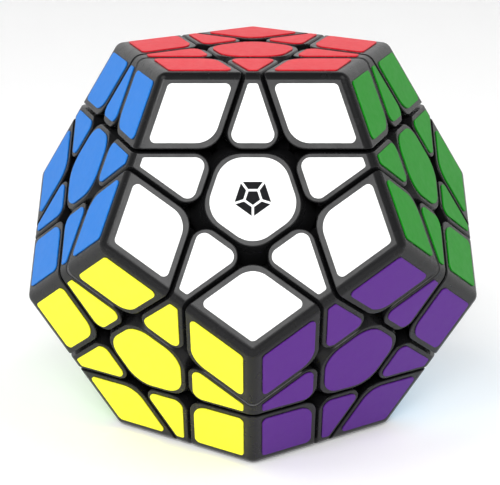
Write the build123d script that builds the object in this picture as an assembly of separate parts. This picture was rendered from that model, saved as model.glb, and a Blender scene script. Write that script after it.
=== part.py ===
from build123d import *
from math import acos, atan, cos, degrees, radians, sin, sqrt, tan
import os

# A twelve-faced twisty puzzle. Millimetres, +Z up, origin at the centre of the core.
# It rests on its orange face, the red face is on top and the white face looks along -Y.
# Every piece is kept apart from its neighbours by surfaces that turn about a face axis:
# flat cuts in the outer shell, cones in the two shells of feet. So a whole face layer
# (one centre, five edges and five corners) can turn past everything else.

os.makedirs("parts", exist_ok=True)

# ---------------------------------------------------------------- driving dimensions
EDGE = 32.0  # one edge of the dodecahedron, sharp corner to sharp corner
CUT_SHARE = 0.646  # depth of a layer's cut, as a share of the centre-to-face distance
GAP = 0.27  # from a cut to the plastic on each side of it
WALL = 1.5  # wall of the hollow caps
STICKER_THICK = 0.2
INNER_RIM = 0.97  # from a cut to the stickers on its side towards the face's middle
OUTER_RIM = 1.57  # from a cut to the stickers on its other side
STICKER_BORDER = 2.05  # from a sharp outer edge to the stickers
CENTRE_STICKER_ROUND = 4.7
CORNER_STICKER_ROUND = 4.0  # at the corner towards the middle of the face
CORNER_TIP_ROUND = 0.9
EDGE_STICKER_ROUND = 1.5  # at the two corners towards the middle of the face
EDGE_TIP_ROUND = 0.4
OUTER_ROUND = 2.0  # rounding along the edges of the dodecahedron
RIM_ROUND = 0.2  # rounding round each piece's visible outline
CORNER_ROUND = 4.8  # plan radius of a corner piece's inner corner
EDGE_ROUND = 2.2  # plan radius of an edge piece's inner corners
CENTRE_ROUND = 5.6  # plan radius of a centre piece's corners

SHELL_A = 32.0  # flat cuts outside this radius, corner feet and edge necks inside it
SHELL_B = 28.6  # edge feet inside this radius
SHELL_C = 25.6  # only centre stalks and the core inside this radius
CONE_B = 47.0  # half-angle of the cuts between SHELL_B and SHELL_A
CONE_C = 54.0  # half-angle of the cuts between SHELL_C and SHELL_B
SHELL_GAP = 0.15  # radial clearance on each side of a shell radius
CONE_GAP = 0.6  # angular clearance on each side of a cone, in degrees

CORNER_SPLIT = 34.0  # height on the corner axis where the cap meets its foot
EDGE_SPLIT = 33.5  # height on the edge axis where the cap meets its foot
CENTRE_SPLIT = 33.9  # height on the face axis where the cap meets the centre body
PLUG_GAP = 0.05  # a foot's plug inside its cap
PLUG_HIGH = 2.4  # how far a plug reaches into its cap
PLUG_WALL = 1.2

STALK_RADIUS = 3.85  # tube of a centre body, which holds the spring
STALK_END = 19.2  # height of that tube's lower end
CUP_BORE = 3.05  # radius of the bore in that tube
CUP_FLOOR = 21.2  # height of the floor that the spring presses on
SCREW_HOLE = 1.4  # radius of the clearance hole for the screw
NECK_LOW = 29.6  # height of the underside of a centre body's thick neck
LID_BORE = 5.6  # radius of the recess under a centre cap
LID_FLOOR = 31.4
CAP_SKIRT = 2.3  # height of the skirt that holds a centre cap in that recess
CAP_SKIRT_WALL = 1.1

CORE_BALL = 10.0  # radius of the core's ball
POST_RADIUS = 3.6
POST_END = 19.0  # height of a post's end on its face axis
SCREW_RADIUS = 1.15
SCREW_TIP = 7.6  # height of a screw's tip on its face axis
PILOT_SPARE = 0.5  # how far a screw's pilot hole goes past its tip
SCREW_HEAD_RADIUS = 2.6
SCREW_HEAD_HIGH = 1.7
HEAD_ROUND = 0.7
TIP_CHAMFER = 0.5
WASHER_RADIUS = 2.95
WASHER_THICK = 0.5
SPRING_RADIUS = 2.2  # mean radius
SPRING_WIRE = 0.55  # wire diameter
SPRING_HIGH = 8.0
SPRING_TURNS = 7.5
END_GAP = 0.05  # from the spring's end coils to what they press on
RECESS_WIDE = 0.75  # arms of the cross recess in a screw's head
RECESS_LONG = 3.4
RECESS_DEEP = 1.0

# ---------------------------------------------------------------- the solid's angles
PHI = (1 + sqrt(5)) / 2
FACE_TO_FACE = degrees(atan(2))  # between the axes of two neighbouring faces
FACE_TO_EDGE = degrees(atan(1 / PHI))  # from a face axis to a near edge midpoint
END_TO_EDGE = degrees(atan(PHI))  # from the face at an edge's end to its midpoint
FACE_TO_CORNER = degrees(acos(sqrt((5 + 2 * sqrt(5)) / 15)))
FIFTH = 72.0
HALF_CORNER = 36.0

INRADIUS = EDGE * sqrt((25 + 11 * sqrt(5)) / 10) / 2
FACE_INRADIUS = EDGE / (2 * tan(radians(HALF_CORNER)))
FACE = INRADIUS - STICKER_THICK  # height of the plastic faces under the stickers
CUT = INRADIUS * CUT_SHARE
# Distance of the cut lines from the middle of a face
CUT_LINE = (CUT - INRADIUS * cos(radians(FACE_TO_FACE))) / sin(radians(FACE_TO_FACE))
REACH = 120.0  # larger than the whole puzzle
ON_BASE = (Align.CENTER, Align.CENTER, Align.MIN)  # centred on local Z, standing on z = 0
UP = Vector(0, 0, 1)
TOUCH = 1e-3  # points closer than this are the same point

# ---------------------------------------------------------------- faces and their names
RING_LIFT = degrees(atan(0.5))
UPPER_RING = ("white", "green", "beige", "pink", "blue")
LOWER_RING = ("purple", "light_blue", "grey", "light_green", "yellow")
LAYERS = ("white", "beige", "orange")  # the layers that turn, none beside another


def direction(azimuth, lift):
    """Unit vector at an azimuth from -Y towards +X and a height angle above the level."""
    a, e = radians(azimuth), radians(lift)
    return Vector(sin(a) * cos(e), -cos(a) * cos(e), sin(e))


def polar(angle, azimuth):
    """Unit vector at an angle from local +Z, in the given azimuth from local +X."""
    t, a = radians(angle), radians(azimuth)
    return Vector(sin(t) * cos(a), sin(t) * sin(a), cos(t))


AXES = {"red": Vector(0, 0, 1), "orange": Vector(0, 0, -1)}
for turn, colour in enumerate(UPPER_RING):
    AXES[colour] = direction(FIFTH * turn, RING_LIFT)
for turn, colour in enumerate(LOWER_RING):
    AXES[colour] = direction(FIFTH * turn + HALF_CORNER, -RING_LIFT)

NEIGHBOUR_DOT = 0.4  # two face axes with a larger dot product are neighbours


def neighbours(colour):
    """The five faces round a face."""
    here = AXES[colour]
    return [c for c in AXES if c != colour and here.dot(AXES[c]) > NEIGHBOUR_DOT]


def edge_pairs():
    """The 30 pairs of neighbouring faces, one pair for each edge piece."""
    return [(a, b) for a in AXES for b in neighbours(a) if a < b]


def corner_triples():
    """The 20 sets of three faces that meet, one for each corner piece."""
    return [(a, b, c) for a, b in edge_pairs() for c in neighbours(a) if b < c and c in neighbours(b)]


# ---------------------------------------------------------------- building blocks
def half_space(normal, depth, beyond):
    """All points beyond the plane normal.p = depth, or all points short of it."""
    plane = Plane(origin=normal * depth, z_dir=normal if beyond else -normal)
    return plane * Box(REACH, REACH, REACH, align=ON_BASE)


def cone(axis, half_angle):
    """All points within an angle of an axis through the origin."""
    body = Cone(0, REACH * tan(radians(half_angle)), REACH, align=ON_BASE)
    return Plane(origin=(0, 0, 0), z_dir=axis) * body


def shell(inner, outer):
    """The space between two spheres round the origin."""
    return Sphere(outer) - Sphere(inner)


def wedge(inside, outside, low, shrink=0.0):
    """A piece's flat-sided space above local z = low, within the layers of the axes in
    inside and out of those in outside, drawn in by shrink on every other side."""
    block = half_space(UP, low, True)
    for axis in inside:
        block = block & half_space(axis, FACE - shrink, False)
        block = block & half_space(axis, CUT + GAP + shrink, True)
    for axis in outside:
        block = block & half_space(axis, CUT - GAP - shrink, False)
    return block


def hollow_plug(inside, outside, low):
    """Square-walled ring that stands on a foot and fits inside its cap."""
    outer = wedge(inside, outside, low, WALL + PLUG_GAP)
    inner = wedge(inside, outside, low, WALL + PLUG_GAP + PLUG_WALL)
    return (outer - inner) & half_space(UP, low + PLUG_HIGH, False)


def cone_space(inside, outside, inner, outer, half_angle):
    """A piece's space in one of the shells of feet."""
    space = shell(inner + SHELL_GAP, outer - SHELL_GAP)
    for axis in inside:
        space = space & cone(axis, half_angle - CONE_GAP)
    for axis in outside:
        space = space - cone(axis, half_angle + CONE_GAP)
    return space


def slanted(block, low):
    """The straight edges that run up from the bottom of a block."""
    found = []
    for edge in block.edges():
        ends = sorted(vertex.Z for vertex in edge.vertices())
        if abs(ends[0] - low) < TOUCH and ends[1] - low > TOUCH:
            found.append(edge)
    return found


OUTER_TILT = 0.75  # outer faces look up more steeply than this, and the cut sides less


def rim(block):
    """The edges between a block's outer faces and its cut sides."""
    tops, sides = [], []
    for face in block.faces():
        up = face.normal_at(face.center()).Z > OUTER_TILT
        (tops if up else sides).extend(face.edges())
    return [edge for edge in tops if any(edge.is_same(other) for other in sides)]


# ---------------------------------------------------------------- corner pieces
CORNER_AXES = [polar(FACE_TO_CORNER, 120 * turn) for turn in range(3)]
CORNER_TIP = (CUT + GAP) / cos(radians(FACE_TO_CORNER))
CORNER_TOP = FACE / cos(radians(FACE_TO_CORNER))


def touching(block, height):
    """The edges of a block that end at the point at this height on local Z."""
    point = Vector(0, 0, height)
    return [e for e in block.edges() if any((Vector(*v) - point).length < TOUCH for v in e.vertices())]


def corner_block():
    """Outer shape of a corner piece, from its inner tip to its rounded corner."""
    block = wedge(CORNER_AXES, [], 0)
    block = fillet(touching(block, CORNER_TIP), CORNER_ROUND)
    block = fillet(touching(block, CORNER_TOP), OUTER_ROUND)
    return fillet(rim(block), RIM_ROUND)


def corner_cap():
    """Hollow outer shell of a corner piece, open downwards."""
    upper = corner_block() & half_space(UP, CORNER_SPLIT, True)
    return upper - wedge(CORNER_AXES, [], CORNER_SPLIT, WALL)


def corner_foot():
    """Plug, neck and the rounded foot that is held under the neighbouring edges."""
    lower = corner_block() & half_space(UP, CORNER_SPLIT, False)
    foot = cone_space(CORNER_AXES, [], SHELL_B, SHELL_A, CONE_B)
    return lower + foot + hollow_plug(CORNER_AXES, [], CORNER_SPLIT)


# ---------------------------------------------------------------- edge pieces
EDGE_AXES = [polar(FACE_TO_EDGE, 180 * turn) for turn in range(2)]
EDGE_ENDS = [polar(END_TO_EDGE, 90 + 180 * turn) for turn in range(2)]
EDGE_LOW = 32.2  # flat bottom of an edge piece's outer block, just outside SHELL_A
EDGE_NECK = (8.0, 8.0, 2.0)  # joins that block to the foot below it
INNER_NECK = (15.0, 2.6, 1.2)  # joins the foot to the inner foot


def edge_block():
    """Outer shape of an edge piece, a roof with sloping ends."""
    block = wedge(EDGE_AXES, EDGE_ENDS, EDGE_LOW)
    block = fillet(slanted(block, EDGE_LOW), EDGE_ROUND)
    ridge = block.edges().sort_by(Axis.Z)[-1]
    block = fillet(ridge, OUTER_ROUND)
    return fillet(rim(block), RIM_ROUND)


def edge_cap():
    """Hollow outer shell of an edge piece, open downwards."""
    upper = edge_block() & half_space(UP, EDGE_SPLIT, True)
    return upper - wedge(EDGE_AXES, EDGE_ENDS, EDGE_SPLIT, WALL)


def edge_foot():
    """Plug, neck, the foot under the centre's flange and the inner foot below that."""
    lower = edge_block() & half_space(UP, EDGE_SPLIT, False)
    middle = cone_space(EDGE_AXES, EDGE_ENDS, SHELL_B, SHELL_A, CONE_B)
    inner = cone_space(EDGE_AXES, EDGE_ENDS, SHELL_C, SHELL_B, CONE_C)
    foot = lower + hollow_plug(EDGE_AXES, EDGE_ENDS, EDGE_SPLIT)
    foot = foot + Pos(0, 0, SHELL_A) * Box(*EDGE_NECK)
    return foot + middle + Pos(0, 0, SHELL_B) * Box(*INNER_NECK) + inner


# ---------------------------------------------------------------- centre pieces
CENTRE_SIDES = [polar(FACE_TO_FACE, FIFTH * turn) for turn in range(5)]
CENTRE_LOW = 31.0


def upright(radius, low, high):
    """A round bar on local Z between two heights."""
    return Pos(0, 0, low) * Cylinder(radius, high - low, align=ON_BASE)


def centre_block():
    """Outer shape of a centre piece, a five-sided plug that widens inwards."""
    block = wedge([], CENTRE_SIDES, CENTRE_LOW) & half_space(UP, FACE, False)
    block = fillet(slanted(block, CENTRE_LOW), CENTRE_ROUND)
    return fillet(rim(block), RIM_ROUND)


def centre_cap():
    """The lid that the centre sticker lies on, with the skirt that snaps in its recess."""
    lid = centre_block() & half_space(UP, CENTRE_SPLIT, True)
    skirt = upright(LID_BORE - PLUG_GAP, CENTRE_SPLIT - CAP_SKIRT, CENTRE_SPLIT)
    return lid + skirt - upright(LID_BORE - CAP_SKIRT_WALL, CENTRE_SPLIT - CAP_SKIRT, CENTRE_SPLIT)


def centre_body():
    """Flange, foot and tube. The flange holds the five edges, the tube meets the core."""
    flange = centre_block() & half_space(UP, CENTRE_SPLIT, False)
    flange = flange - Sphere(SHELL_A + SHELL_GAP)
    foot = cone_space([], CENTRE_SIDES, SHELL_B, SHELL_A, CONE_B) & cone(UP, CONE_B / 2)
    neck = upright(LID_BORE + WALL, NECK_LOW, CENTRE_SPLIT)
    body = flange + foot + neck + upright(STALK_RADIUS, STALK_END, SHELL_A)
    body = body - upright(LID_BORE, LID_FLOOR, FACE)
    return body - upright(CUP_BORE, CUP_FLOOR, FACE) - upright(SCREW_HOLE, STALK_END, FACE)


# ---------------------------------------------------------------- core and fasteners
WASHER_LOW = CUP_FLOOR + SPRING_HIGH
HEAD_LOW = WASHER_LOW + WASHER_THICK


def core_spider():
    """Ball with twelve posts, each with a pilot hole for its screw."""
    core = Sphere(CORE_BALL)
    for axis in AXES.values():
        core = core + Plane(origin=(0, 0, 0), z_dir=axis) * upright(POST_RADIUS, 0, POST_END)
    for axis in AXES.values():
        hole = upright(SCREW_RADIUS, SCREW_TIP - PILOT_SPARE, REACH)
        core = core - Plane(origin=(0, 0, 0), z_dir=axis) * hole
    return core


def screw():
    """Pan-head screw with a cross recess."""
    head = upright(SCREW_HEAD_RADIUS, HEAD_LOW, HEAD_LOW + SCREW_HEAD_HIGH)
    head = fillet(head.edges().group_by(Axis.Z)[-1], HEAD_ROUND)
    body = head + upright(SCREW_RADIUS, SCREW_TIP, HEAD_LOW)
    body = chamfer(body.edges().group_by(Axis.Z)[0], TIP_CHAMFER)
    recess = Box(RECESS_LONG, RECESS_WIDE, RECESS_DEEP) + Box(RECESS_WIDE, RECESS_LONG, RECESS_DEEP)
    return body - Pos(0, 0, HEAD_LOW + SCREW_HEAD_HIGH - RECESS_DEEP / 2) * recess


def washer():
    """Flat ring between the spring and the screw head."""
    return upright(WASHER_RADIUS, WASHER_LOW, HEAD_LOW) - upright(SCREW_HOLE, WASHER_LOW, HEAD_LOW)


def spring():
    """Open coil spring from the tube's floor to the washer."""
    rise = SPRING_HIGH - SPRING_WIRE - 2 * END_GAP
    path = Helix(pitch=rise / SPRING_TURNS, height=rise, radius=SPRING_RADIUS)
    section = Plane(origin=path @ 0, z_dir=path % 0) * Circle(SPRING_WIRE / 2)
    return Pos(0, 0, CUP_FLOOR + SPRING_WIRE / 2 + END_GAP) * sweep(section, path=path)


# ---------------------------------------------------------------- stickers
def crossing(line_a, line_b):
    """Where two lines of the face plane meet, each line given as (distance, azimuth)."""
    (p, a), (q, b) = line_a, line_b
    a, b = radians(a), radians(b)
    turn = sin(b - a)
    return ((p * sin(b) - q * sin(a)) / turn, (q * cos(a) - p * cos(b)) / turn)


def sticker(lines, radii):
    """Thin sheet bounded by lines in order; radii round the crossing after each line."""
    count = len(lines)
    points = [crossing(lines[k], lines[(k + 1) % count]) for k in range(count)]
    outline = make_face(Polyline(*points, close=True))
    for point, radius in zip(points, radii):
        corner = outline.vertices().sort_by_distance(Vector(*point, 0))[0]
        outline = fillet(corner, radius)
    return Pos(0, 0, FACE) * extrude(outline, STICKER_THICK)


def centre_sticker():
    lines = [(CUT_LINE - INNER_RIM, FIFTH * turn) for turn in range(5)]
    return sticker(lines, [CENTRE_STICKER_ROUND] * 5)


def edge_sticker():
    """Sticker of the edge piece beside the face's side in azimuth 0."""
    side = CUT_LINE - INNER_RIM
    outer = FACE_INRADIUS - STICKER_BORDER
    lines = [(outer, 0), (side, FIFTH), (CUT_LINE + OUTER_RIM, 0), (side, -FIFTH)]
    return sticker(lines, [EDGE_TIP_ROUND, EDGE_STICKER_ROUND, EDGE_STICKER_ROUND, EDGE_TIP_ROUND])


def corner_sticker():
    """Sticker of the corner piece between the sides in azimuths 0 and 72."""
    outer = FACE_INRADIUS - STICKER_BORDER
    inner = CUT_LINE + OUTER_RIM
    lines = [(outer, 0), (outer, FIFTH), (inner, 0), (inner, FIFTH)]
    return sticker(lines, [CORNER_TIP_ROUND, CORNER_TIP_ROUND, CORNER_STICKER_ROUND, CORNER_TIP_ROUND])


# ---------------------------------------------------------------- placing and writing
def level(axis, towards):
    """Local frame on an axis, with local +X turned towards another direction."""
    across = towards - axis * towards.dot(axis)
    return Plane(origin=(0, 0, 0), x_dir=across.normalized(), z_dir=axis)


def middle(colours):
    """Unit vector between some face axes."""
    total = Vector(0, 0, 0)
    for colour in colours:
        total = total + AXES[colour]
    return total.normalized()


def owner(colours):
    """The turning layer that holds a piece with these colours, or fixed."""
    for colour in colours:
        if colour in LAYERS:
            return colour
    return "fixed"


nodes = {}


def add(node, solid):
    nodes.setdefault(node, []).extend(solid.solids())


def place_centres():
    body, lid = centre_body(), centre_cap()
    for colour, axis in AXES.items():
        frame = level(axis, AXES[neighbours(colour)[0]])
        name = owner([colour])
        many = name == "fixed"
        add(name + ("_centre_bodies" if many else "_centre_body"), frame * body)
        add(name + ("_centre_caps" if many else "_centre_cap"), frame * lid)


def place_edges():
    cap, foot = edge_cap(), edge_foot()
    for pair in edge_pairs():
        frame = level(middle(pair), AXES[pair[0]])
        add(owner(pair) + "_edge_caps", frame * cap)
        add(owner(pair) + "_edge_feet", frame * foot)


def place_corners():
    cap, foot = corner_cap(), corner_foot()
    for triple in corner_triples():
        frame = level(middle(triple), AXES[triple[0]])
        add(owner(triple) + "_corner_caps", frame * cap)
        add(owner(triple) + "_corner_feet", frame * foot)


def place_stickers():
    shapes = centre_sticker(), edge_sticker(), corner_sticker()
    for colour, axis in AXES.items():
        near = neighbours(colour)
        add(sticker_node(colour, [colour]), level(axis, AXES[near[0]]) * shapes[0])
        for other in near:
            frame = level(axis, AXES[other])
            add(sticker_node(colour, [colour, other]), frame * shapes[1])
            corner = frame.from_local_coords(polar(90, FIFTH))
            third = max(near, key=lambda c: AXES[c].dot(corner))
            add(sticker_node(colour, [colour, other, third]), frame * shapes[2])


def sticker_node(colour, piece):
    """Stickers of one colour on one turning body share a node."""
    name = owner(piece)
    if name == colour:
        return colour + "_stickers"
    return name + "_layer_" + colour + "_stickers" if name != "fixed" else "fixed_" + colour + "_stickers"


def place_core():
    add("core_spider", core_spider())
    fasteners = {"centre_screws": screw(), "screw_washers": washer(), "centre_springs": spring()}
    for node, shape in fasteners.items():
        for colour, axis in AXES.items():
            add(node, level(axis, AXES[neighbours(colour)[0]]) * shape)


place_core()
place_centres()
place_edges()
place_corners()
place_stickers()

for node, solids in nodes.items():
    export_step(Compound(children=solids), f"parts/{node}.step")
    print(node, len(solids), round(sum(solid.volume for solid in solids)))
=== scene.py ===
from math import atan, cos, degrees, pi, radians, sin

import bmesh
import bpy
from mathutils import Matrix, Vector


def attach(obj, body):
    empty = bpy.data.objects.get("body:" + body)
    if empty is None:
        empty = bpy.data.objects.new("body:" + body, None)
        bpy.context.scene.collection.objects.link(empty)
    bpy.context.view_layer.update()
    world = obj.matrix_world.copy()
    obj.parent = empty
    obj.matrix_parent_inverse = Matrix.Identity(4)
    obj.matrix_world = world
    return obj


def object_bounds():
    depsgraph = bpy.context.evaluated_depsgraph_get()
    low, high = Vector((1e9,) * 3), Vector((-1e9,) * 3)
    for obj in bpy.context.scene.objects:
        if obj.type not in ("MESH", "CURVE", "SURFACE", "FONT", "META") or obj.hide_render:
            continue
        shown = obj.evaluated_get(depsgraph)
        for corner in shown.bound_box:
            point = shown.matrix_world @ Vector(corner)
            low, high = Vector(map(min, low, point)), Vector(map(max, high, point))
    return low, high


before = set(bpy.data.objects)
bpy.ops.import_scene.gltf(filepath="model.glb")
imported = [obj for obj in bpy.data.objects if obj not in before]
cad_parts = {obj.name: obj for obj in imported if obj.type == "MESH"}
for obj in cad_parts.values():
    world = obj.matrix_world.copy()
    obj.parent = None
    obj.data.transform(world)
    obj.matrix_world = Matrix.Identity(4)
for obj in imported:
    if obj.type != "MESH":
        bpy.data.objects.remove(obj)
cad_box = [list(corner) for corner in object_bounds()]

# Sticker colours, as linear RGB.
STICKERS = {
    "white": (0.93, 0.93, 0.93),
    "red": (0.74, 0.019, 0.034),
    "blue": (0.0135, 0.195, 0.66),
    "green": (0.004, 0.25, 0.005),
    "yellow": (1.0, 0.98, 0.042),
    "purple": (0.092, 0.0155, 0.226),
    "orange": (0.92, 0.19, 0.02),
    "grey": (0.30, 0.32, 0.34),
    "pink": (0.90, 0.22, 0.42),
    "beige": (0.90, 0.80, 0.40),
    "light_blue": (0.18, 0.58, 0.88),
    "light_green": (0.22, 0.65, 0.06),
}


# ---------------------------------------------------------------- node helpers
def new_material(name):
    """A node material, with its nodes, links and main shader."""
    material = bpy.data.materials.new(name)
    material.use_nodes = True
    nodes = material.node_tree.nodes
    return material, nodes, material.node_tree.links, nodes["Principled BSDF"]


def noise(nodes, links, scale, detail=3.0, roughness=0.5):
    """Noise in the piece's own coordinates, with scale in waves per metre."""
    coordinates = nodes.new("ShaderNodeTexCoord")
    texture = nodes.new("ShaderNodeTexNoise")
    texture.inputs["Scale"].default_value = scale
    texture.inputs["Detail"].default_value = detail
    texture.inputs["Roughness"].default_value = roughness
    links.new(coordinates.outputs["Object"], texture.inputs["Vector"])
    return texture.outputs["Fac"]


def remap(nodes, links, value, low, high, to_low, to_high):
    """A value's range low..high spread over to_low..to_high."""
    node = nodes.new("ShaderNodeMapRange")
    node.inputs["From Min"].default_value = low
    node.inputs["From Max"].default_value = high
    node.inputs["To Min"].default_value = to_low
    node.inputs["To Max"].default_value = to_high
    links.new(value, node.inputs["Value"])
    return node.outputs["Result"]


def shade(nodes, links, factor, dark, light):
    """A colour that runs from dark to light with a factor."""
    node = nodes.new("ShaderNodeMix")
    node.data_type = "RGBA"
    node.inputs["A"].default_value = (*dark, 1)
    node.inputs["B"].default_value = (*light, 1)
    links.new(factor, node.inputs["Factor"])
    return node.outputs["Result"]


def bump(nodes, links, bsdf, heights):
    """Bumps one after another, each a (height, depth in metres) pair."""
    normal = None
    for height, depth in heights:
        node = nodes.new("ShaderNodeBump")
        node.inputs["Strength"].default_value = 1.0
        node.inputs["Distance"].default_value = depth
        links.new(height, node.inputs["Height"])
        if normal:
            links.new(normal, node.inputs["Normal"])
        normal = node.outputs["Normal"]
    links.new(normal, bsdf.inputs["Normal"])


# ---------------------------------------------------------------- materials
# Where a noise has nearly all its values: the ends of the range that remap() spreads.
NOISE_LOW = 0.3
NOISE_HIGH = 0.7

# Waves per metre of each surface's marks, broad ones first.
FLOW_MARKS = 160  # in the tone of moulded plastic
SWELL = 260  # in its shape
UNEVEN_POLISH = 420
PLASTIC_GRAIN = 9000
VINYL_POLISH = 700
VINYL_MOTTLE = 900
VINYL_PEEL = 5200
DRAWN_STEEL = 2400
INK_COVER = 3200

VINYL_PEEL_DEEP = 0.0000025
STEEL_MARKS_DEEP = 0.000004
INK_DEEP = 0.000002


def plastic(name, dark, light, roughness, grain):
    """Moulded black plastic: faint flow marks in its tone, fine grain, uneven polish."""
    material, nodes, links, bsdf = new_material(name)
    flow = noise(nodes, links, FLOW_MARKS, 4)
    links.new(shade(nodes, links, flow, dark, light), bsdf.inputs["Base Color"])
    polish = noise(nodes, links, UNEVEN_POLISH, 5, 0.6)
    smooth, rough = roughness - 0.04, roughness + 0.05
    uneven = remap(nodes, links, polish, NOISE_LOW, NOISE_HIGH, smooth, rough)
    links.new(uneven, bsdf.inputs["Roughness"])
    fine = noise(nodes, links, PLASTIC_GRAIN, 2)
    broad = noise(nodes, links, SWELL, 2)
    bump(nodes, links, bsdf, [(fine, grain), (broad, grain * 4)])
    bsdf.inputs["IOR"].default_value = 1.5
    bsdf.inputs["Specular IOR Level"].default_value = 0.185
    return material


def vinyl(name, colour):
    """Printed vinyl sticker: almost even colour, a soft sheen and a very fine orange peel."""
    material, nodes, links, bsdf = new_material(name)
    mottle = noise(nodes, links, VINYL_MOTTLE, 4)
    deeper = tuple(0.96 * channel for channel in colour)
    links.new(shade(nodes, links, mottle, deeper, colour), bsdf.inputs["Base Color"])
    polish = noise(nodes, links, VINYL_POLISH, 4, 0.6)
    uneven = remap(nodes, links, polish, NOISE_LOW, NOISE_HIGH, 0.36, 0.44)
    links.new(uneven, bsdf.inputs["Roughness"])
    bump(nodes, links, bsdf, [(noise(nodes, links, VINYL_PEEL, 2), VINYL_PEEL_DEEP)])
    bsdf.inputs["IOR"].default_value = 1.46
    bsdf.inputs["Specular IOR Level"].default_value = 0.13
    return material


def steel(name, colour, roughness):
    """Bright steel with fine drawing marks."""
    material, nodes, links, bsdf = new_material(name)
    marks = noise(nodes, links, DRAWN_STEEL, 5, 0.7)
    darker = tuple(0.8 * channel for channel in colour)
    links.new(shade(nodes, links, marks, darker, colour), bsdf.inputs["Base Color"])
    uneven = remap(nodes, links, marks, NOISE_LOW, NOISE_HIGH, roughness, roughness + 0.15)
    links.new(uneven, bsdf.inputs["Roughness"])
    bump(nodes, links, bsdf, [(marks, STEEL_MARKS_DEEP)])
    bsdf.inputs["Metallic"].default_value = 1.0
    return material


def ink(name):
    """Black print on a sticker, a little uneven."""
    material, nodes, links, bsdf = new_material(name)
    cover = noise(nodes, links, INK_COVER, 3)
    black = shade(nodes, links, cover, (0.006, 0.006, 0.007), (0.012, 0.012, 0.013))
    links.new(black, bsdf.inputs["Base Color"])
    bsdf.inputs["Roughness"].default_value = 0.6
    bsdf.inputs["Specular IOR Level"].default_value = 0.05
    bump(nodes, links, bsdf, [(cover, INK_DEEP)])
    return material


# ---------------------------------------------------------------- the CAD pieces
def sticker_colour(node):
    """The colour that a sticker node's name ends in, longest name first."""
    stem = node[: -len("_stickers")]
    return max((c for c in STICKERS if stem.endswith(c)), key=len)


def dress(node, material):
    """The same material in every slot of a CAD piece."""
    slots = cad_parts[node].data.materials
    if not slots:
        slots.append(material)
    for index in range(len(slots)):
        slots[index] = material


def dress_nodes():
    """A material for every CAD piece, chosen by its name."""
    shell = plastic("shell_plastic", (0.0055, 0.0055, 0.006), (0.008, 0.008, 0.0085), 0.25, 0.0000035)
    inner = plastic("inner_plastic", (0.005, 0.005, 0.0055), (0.008, 0.008, 0.0085), 0.42, 0.000006)
    core = plastic("core_plastic", (0.018, 0.018, 0.020), (0.030, 0.030, 0.032), 0.45, 0.000006)
    metals = {
        "centre_screws": steel("screw_steel", (0.62, 0.61, 0.58), 0.22),
        "screw_washers": steel("washer_steel", (0.70, 0.70, 0.69), 0.18),
        "centre_springs": steel("spring_steel", (0.52, 0.52, 0.54), 0.25),
    }
    vinyls = {colour: vinyl("sticker_" + colour, rgb) for colour, rgb in STICKERS.items()}
    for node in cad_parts:
        if node.endswith("_stickers"):
            dress(node, vinyls[sticker_colour(node)])
        elif node in metals:
            dress(node, metals[node])
        elif node == "core_spider":
            dress(node, core)
        elif node.endswith(("_caps", "_cap")):
            dress(node, shell)
        else:
            dress(node, inner)


# ---------------------------------------------------------------- printed emblem
MARK_RADIUS = 0.0036  # from the emblem's middle to the corners of its outline
MARK_MIDDLE = 0.00155  # the same for the five-sided patch in its middle
MARK_LINE = 0.0004  # bare lines between the patches
MARK_HIGH = 0.00003  # thickness of the ink
MARK_LIFT = 0.00001  # from the sticker to the ink's underside


def around(radius, turn):
    """A point on a circle in the emblem's plane, with turn in fifths of a circle."""
    angle = 2 * pi * turn / 5
    return Vector((radius * sin(angle), -radius * cos(angle), 0))


def drawn_in(points, border):
    """A convex patch, listed anticlockwise, with every side moved inwards."""
    count = len(points)
    moved = []
    for k in range(count):
        before = (points[k] - points[k - 1]).normalized()
        after = (points[(k + 1) % count] - points[k]).normalized()
        inward = Vector((-before.y - after.y, before.x + after.x, 0)).normalized()
        moved.append(points[k] + inward * border / inward.dot(Vector((-before.y, before.x, 0))))
    return moved


def emblem(axis, up, height):
    """Generic printed mark: a five-sided patch with five more round it.

    It lies on the face at a height along an axis, and stands upright when seen along it.
    """
    mesh = bmesh.new()
    patches = [[around(MARK_MIDDLE, k) for k in range(5)]]
    for k in range(5):
        outer = [around(MARK_RADIUS, k), around(MARK_RADIUS, k + 1)]
        patches.append(outer + [around(MARK_MIDDLE, k + 1), around(MARK_MIDDLE, k)])
    for patch in patches:
        mesh.faces.new([mesh.verts.new(point) for point in drawn_in(patch, MARK_LINE / 2)])
    made = bmesh.ops.extrude_face_region(mesh, geom=mesh.faces[:])
    raised = [item for item in made["geom"] if isinstance(item, bmesh.types.BMVert)]
    bmesh.ops.translate(mesh, vec=(0, 0, MARK_HIGH), verts=raised)
    bmesh.ops.recalc_face_normals(mesh, faces=mesh.faces[:])
    data = bpy.data.meshes.new("centre_emblem")
    mesh.to_mesh(data)
    mesh.free()
    piece = bpy.data.objects.new("centre_emblem", data)
    bpy.context.scene.collection.objects.link(piece)
    side = up.cross(axis).normalized()
    turn = Matrix((side, axis.cross(side), axis)).transposed().to_4x4()
    piece.matrix_world = Matrix.Translation(axis * (height + MARK_LIFT)) @ turn
    data.materials.append(ink("emblem_ink"))
    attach(piece, "white_layer")


# ---------------------------------------------------------------- floor
FLOOR_GAP = 0.00003  # keeps the floor just clear of the stickers that rest on it
FLOOR_HALF = 1.6  # half its width
FLOOR_BACK = 0.9  # from the object to where it starts to bend up
FLOOR_BEND = 0.5  # radius of that bend
FLOOR_STEPS = 16  # in the bend
FLOOR_HIGH = 1.6  # top of the backdrop
FLOOR_GLOW = 0.12  # makes up for the light that a bigger studio would send back
PAPER_FIBRE = 90  # waves per metre


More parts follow.
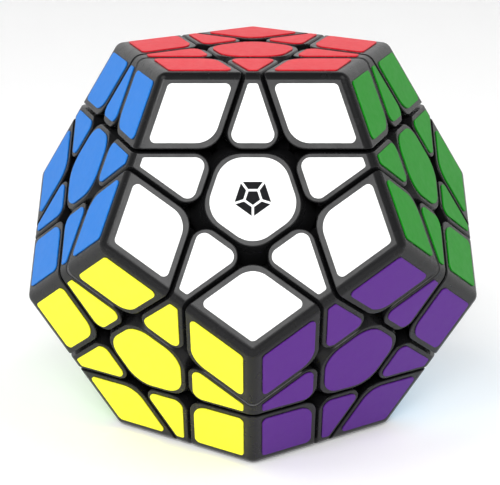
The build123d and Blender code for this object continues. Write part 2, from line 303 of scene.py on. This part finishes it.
def stage():
    """Pale floor that curves up into a backdrop behind the object."""
    low = cad_box[0][2] - FLOOR_GAP
    profile = [(-FLOOR_HALF, 0.0), (FLOOR_BACK, 0.0)]
    for k in range(1, FLOOR_STEPS + 1):
        a = 0.5 * pi * k / FLOOR_STEPS
        profile.append((FLOOR_BACK + FLOOR_BEND * sin(a), FLOOR_BEND - FLOOR_BEND * cos(a)))
    profile.append((FLOOR_BACK + FLOOR_BEND, FLOOR_HIGH))
    vertices = [(x, y, low + z) for y, z in profile for x in (-FLOOR_HALF, FLOOR_HALF)]
    faces = [(2 * k, 2 * k + 1, 2 * k + 3, 2 * k + 2) for k in range(len(profile) - 1)]
    data = bpy.data.meshes.new("floor")
    data.from_pydata(vertices, [], faces)
    data.polygons.foreach_set("use_smooth", [True] * len(data.polygons))
    floor = bpy.data.objects.new("floor", data)
    bpy.context.scene.collection.objects.link(floor)
    material, nodes, links, bsdf = new_material("floor_paper")
    fibre = noise(nodes, links, PAPER_FIBRE, 5)
    paper = shade(nodes, links, fibre, (0.91, 0.91, 0.91), (0.94, 0.94, 0.94))
    links.new(paper, bsdf.inputs["Base Color"])
    bsdf.inputs["Roughness"].default_value = 0.8
    bsdf.inputs["Specular IOR Level"].default_value = 0.2
    bsdf.inputs["Emission Color"].default_value = (1, 1, 1, 1)
    bsdf.inputs["Emission Strength"].default_value = FLOOR_GLOW
    data.materials.append(material)


# ---------------------------------------------------------------- light and camera
# Azimuth and height angle in degrees, distance, width, height and radiance of each soft light.
LIGHTS = {
    "key": (-4, 34, 1.1, 0.50, 0.40, 10.4),
    "kicker": (-28, 43, 1.1, 0.13, 0.16, 30.0),
    "fill_left": (-60, 60, 1.2, 0.60, 0.60, 3.0),
    "fill_right": (60, 60, 1.2, 0.60, 0.60, 3.0),
    "back_left": (-150, 24, 1.2, 0.70, 0.70, 0.16),
    "back_right": (150, 24, 1.2, 0.70, 0.70, 0.12),
}
SKY_LOW = 0.75  # radiance of the studio's walls
SKY_HIGH = 0.15  # radiance of its ceiling
WALL_TOP = 0.3  # where the walls start to fade, as the sine of the height angle
CEILING = 0.8  # where the ceiling is reached

EDGE = 0.032  # edge of the dodecahedron
CAMERA_LIFT = 16.58  # degrees above the level
CAMERA_AWAY = 10.085 * EDGE
LENS = 122.0
SENSOR = 36.0
SHIFT = (-0.0057, -0.0173)  # of the picture, in its own widths


def direction(azimuth, lift):
    """Unit vector at an azimuth from -Y towards +X and a height angle above the level."""
    a, e = radians(azimuth), radians(lift)
    return Vector((sin(a) * cos(e), -cos(a) * cos(e), sin(e)))


def put(thing, place):
    """Puts a light or camera in the scene, aimed at the object's middle."""
    thing.location = place
    thing.rotation_euler = (-place).to_track_quat("-Z", "Y").to_euler()
    bpy.context.scene.collection.objects.link(thing)


def area_light(name, place, wide, high, radiance):
    """Soft light at a place."""
    data = bpy.data.lights.new(name, "AREA")
    data.shape = "RECTANGLE"
    data.size = wide
    data.size_y = high
    data.energy = radiance * pi * wide * high
    put(bpy.data.objects.new(name, data), place)


def lighting():
    """A studio with pale walls and a dim ceiling, and its soft lights."""
    world = bpy.data.worlds.new("studio")
    bpy.context.scene.world = world
    world.use_nodes = True
    nodes, links = world.node_tree.nodes, world.node_tree.links
    background = nodes["Background"]
    background.inputs["Color"].default_value = (1, 1, 1, 1)
    split = nodes.new("ShaderNodeSeparateXYZ")
    links.new(nodes.new("ShaderNodeTexCoord").outputs["Generated"], split.inputs["Vector"])
    fade = remap(nodes, links, split.outputs["Z"], WALL_TOP, CEILING, SKY_LOW, SKY_HIGH)
    links.new(fade, background.inputs["Strength"])
    for name, (azimuth, lift, away, wide, high, radiance) in LIGHTS.items():
        area_light(name, direction(azimuth, lift) * away, wide, high, radiance)


def camera():
    """A long lens straight in front, a little above the level."""
    data = bpy.data.cameras.new("camera")
    data.lens = LENS
    data.sensor_width = SENSOR
    data.shift_x, data.shift_y = SHIFT
    view = bpy.data.objects.new("camera", data)
    put(view, direction(0, CAMERA_LIFT) * CAMERA_AWAY)
    bpy.context.scene.camera = view


# The angle between neighbouring faces puts the white one's axis at a slope of one half.
white_axis = direction(0, degrees(atan(0.5)))
face_height = cad_box[1][2]  # every face is as far from the core as the top one

camera()
stage()
lighting()
dress_nodes()
emblem(white_axis, Vector((0, 0, 1)), face_height)
bpy.context.scene.view_settings.view_transform = "Standard"
